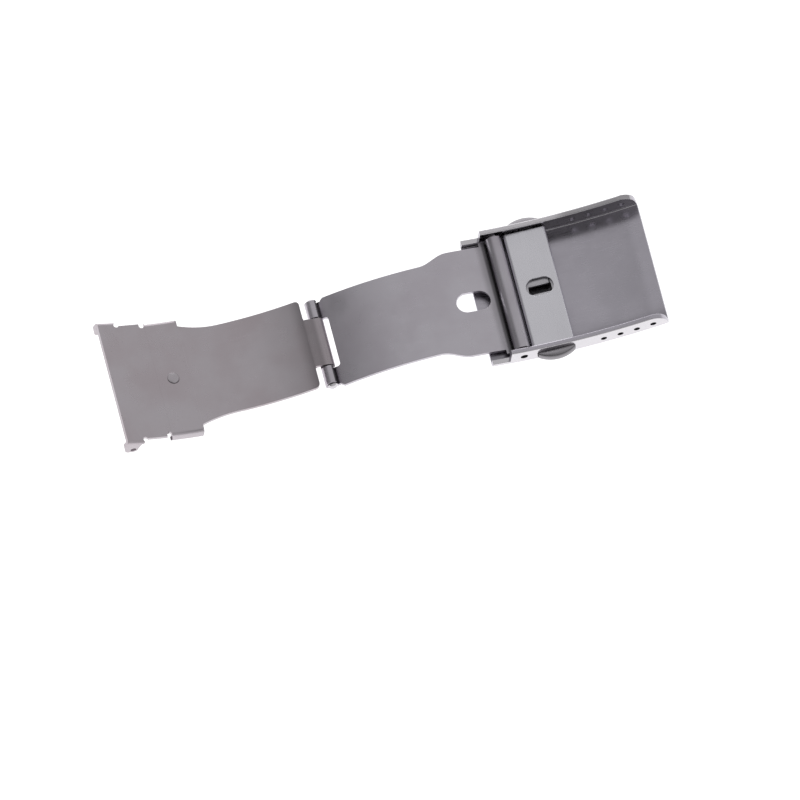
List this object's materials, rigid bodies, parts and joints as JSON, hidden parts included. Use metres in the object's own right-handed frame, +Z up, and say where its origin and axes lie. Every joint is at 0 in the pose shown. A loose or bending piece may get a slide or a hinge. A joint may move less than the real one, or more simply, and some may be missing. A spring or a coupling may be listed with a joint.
{
  "type": "deployant clasp",
  "caption": "Folding deployant clasp lying open, curved steel blades rolled round hinge pins, side push buttons, catch stud and channel cover for a watch bracelet.",
  "frame": {"origin": "middle of the bounding box at the table, under the clasp as it lies open", "axes": "+X from the strap ears to the free end of the cover, Y across the clasp, +Z up, towards the wrist side"},
  "size_m": [0.0882, 0.0248, 0.0075],
  "materials": {
    "cover_steel": "lengthwise brushing outside, polished side walls",
    "plate_steel": "satin",
    "pin_steel": "drawn",
    "spring_steel": "drawn wire",
    "button_steel": "polished",
    "slide_steel": "stamped",
    "blade_steel": "satin, tumbled",
    "stud_steel": "turned and polished"
  },
  "bodies": {
    "cover": {"cover_shell": "cover_steel", "lock_plate": "plate_steel", "cover_hinge_pin": "pin_steel", "near_spring": "spring_steel", "far_spring": "spring_steel"},
    "outer": {"outer_blade": "blade_steel", "fold_hinge_pin": "pin_steel"},
    "inner": {"inner_blade": "blade_steel", "catch_stud": "stud_steel"},
    "near_latch": {"near_button": "button_steel", "near_latch_slide": "slide_steel"},
    "far_latch": {"far_button": "button_steel", "far_latch_slide": "slide_steel"}
  },
  "joints": [
    {"name": "cover_hinge", "type": "hinge", "parent": "cover", "child": "outer", "pos_m": [0.02055, 0, 0.00321], "axis": [0, 1, 0], "range_deg": [0, 168.47]},
    {"name": "fold_hinge", "type": "hinge", "parent": "outer", "child": "inner", "pos_m": [-0.00973, 0, 0.00206], "axis": [0, -1, 0], "range_deg": [0, 184.06]},
    {"name": "near_push", "type": "slide", "parent": "cover", "child": "near_latch", "axis": [0, 1, 0], "range_m": [0, 0.00075], "stiffness_N_per_m": 150, "springref_m": -0.0006, "deforming": ["near_spring", "far_spring"]},
    {"name": "far_push", "type": "slide", "parent": "cover", "child": "far_latch", "axis": [0, -1, 0], "range_m": [0, 0.00075], "stiffness_N_per_m": 150, "springref_m": -0.0006, "deforming": ["near_spring", "far_spring"]}
  ],
  "couplings": [
    {"joint": "fold_hinge", "follows": "cover_hinge", "ratio": 1.0925}
  ]
}
